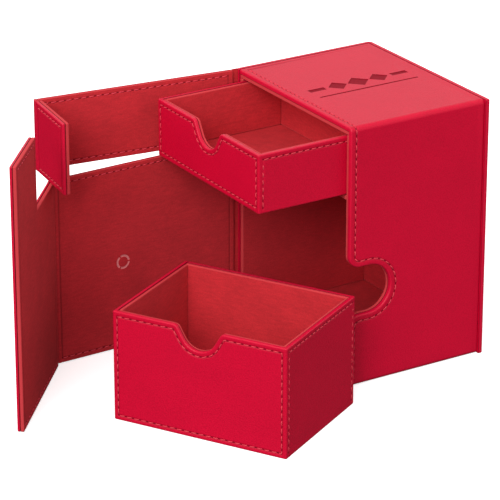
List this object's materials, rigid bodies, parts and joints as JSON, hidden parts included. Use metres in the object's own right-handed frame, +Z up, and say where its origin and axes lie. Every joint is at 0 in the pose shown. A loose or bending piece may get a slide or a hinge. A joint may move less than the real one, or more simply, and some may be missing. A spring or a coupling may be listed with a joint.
{
  "type": "card deck box",
  "caption": "Leatherette-covered card deck box with a pull-out accessory drawer, two folding magnetic flaps, and a loose tray for a deck of sleeved cards.",
  "frame": {"origin": "middle of the case's underside", "axes": "+Z up; the opening faces -Y; +X is the right-hand side of someone looking into it"},
  "size_m": [0.1804, 0.26, 0.1456],
  "materials": {
    "leatherette": "satin",
    "leatherette_dark": "satin",
    "suede": "matte",
    "magnet": "polished",
    "thread": "matte"
  },
  "bodies": {
    "case": {"case_top_board": "leatherette", "case_base_board": "leatherette", "case_back_board": "leatherette", "case_left_board": "leatherette", "case_right_board": "leatherette", "case_magnet_upper": "magnet", "case_magnet_tab": "magnet", "case_magnet_low": "magnet", "case_floor_lining": "suede", "case_ceiling_lining": "suede", "case_back_lining": "suede", "case_left_lining": "suede", "case_right_lining": "suede", "drawer_shelf": "suede", "upper_hinge_strip": "leatherette", "lower_hinge_strip": "leatherette"},
    "drawer": {"drawer_front_board": "leatherette", "drawer_back_board": "leatherette", "drawer_left_board": "leatherette", "drawer_right_board": "leatherette", "drawer_bottom_board": "leatherette", "drawer_floor_lining": "suede", "drawer_front_lining": "suede", "drawer_back_lining": "suede", "drawer_left_lining": "suede", "drawer_right_lining": "suede"},
    "deck_tray": {"tray_front_board": "leatherette", "tray_back_board": "leatherette", "tray_left_board": "leatherette_dark", "tray_right_board": "leatherette_dark", "tray_bottom_board": "leatherette", "tray_floor_lining": "suede", "tray_front_lining": "suede", "tray_back_lining": "suede", "tray_left_lining": "suede", "tray_right_lining": "suede"},
    "upper_flap": {"upper_flap_board": "leatherette", "upper_flap_lining": "suede"},
    "upper_side_flap": {"upper_fold_strip": "leatherette", "upper_side_board": "leatherette", "upper_side_lining": "suede", "upper_side_magnet": "magnet"},
    "lower_flap": {"lower_flap_board": "leatherette", "lower_flap_lining": "suede"},
    "lower_side_flap": {"lower_fold_strip": "leatherette", "lower_side_board": "leatherette", "lower_side_lining": "suede", "lower_side_magnet_tab": "magnet", "lower_side_magnet_low": "magnet"}
  },
  "joints": [
    {"name": "drawer_slide", "type": "slide", "parent": "case", "child": "drawer", "axis": [0, -1, 0], "range_m": [-0.0528, 0.012]},
    {"name": "upper_flap_hinge", "type": "hinge", "parent": "case", "child": "upper_flap", "pos_m": [-0.0557, -0.0456, 0.1258], "axis": [0, 0, -1], "range_deg": [-9, 165]},
    {"name": "upper_flap_fold", "type": "hinge", "parent": "upper_flap", "child": "upper_side_flap", "pos_m": [-0.06991, -0.15972, 0.1258], "axis": [0, 0, -1], "range_deg": [0, 89.8]},
    {"name": "lower_flap_hinge", "type": "hinge", "parent": "case", "child": "lower_flap", "pos_m": [-0.0557, -0.0456, 0.0532], "axis": [0, 0, -1], "range_deg": [-11, 173]},
    {"name": "lower_flap_fold", "type": "hinge", "parent": "lower_flap", "child": "lower_side_flap", "pos_m": [-0.05329, -0.16057, 0.0532], "axis": [0, 0, -1], "range_deg": [-9, 47.9]},
    {"name": "tray_slide", "type": "slide", "parent": "case", "child": "deck_tray", "axis": [0.497, -0.8678, 0], "range_m": [0, 0.1]}
  ]
}
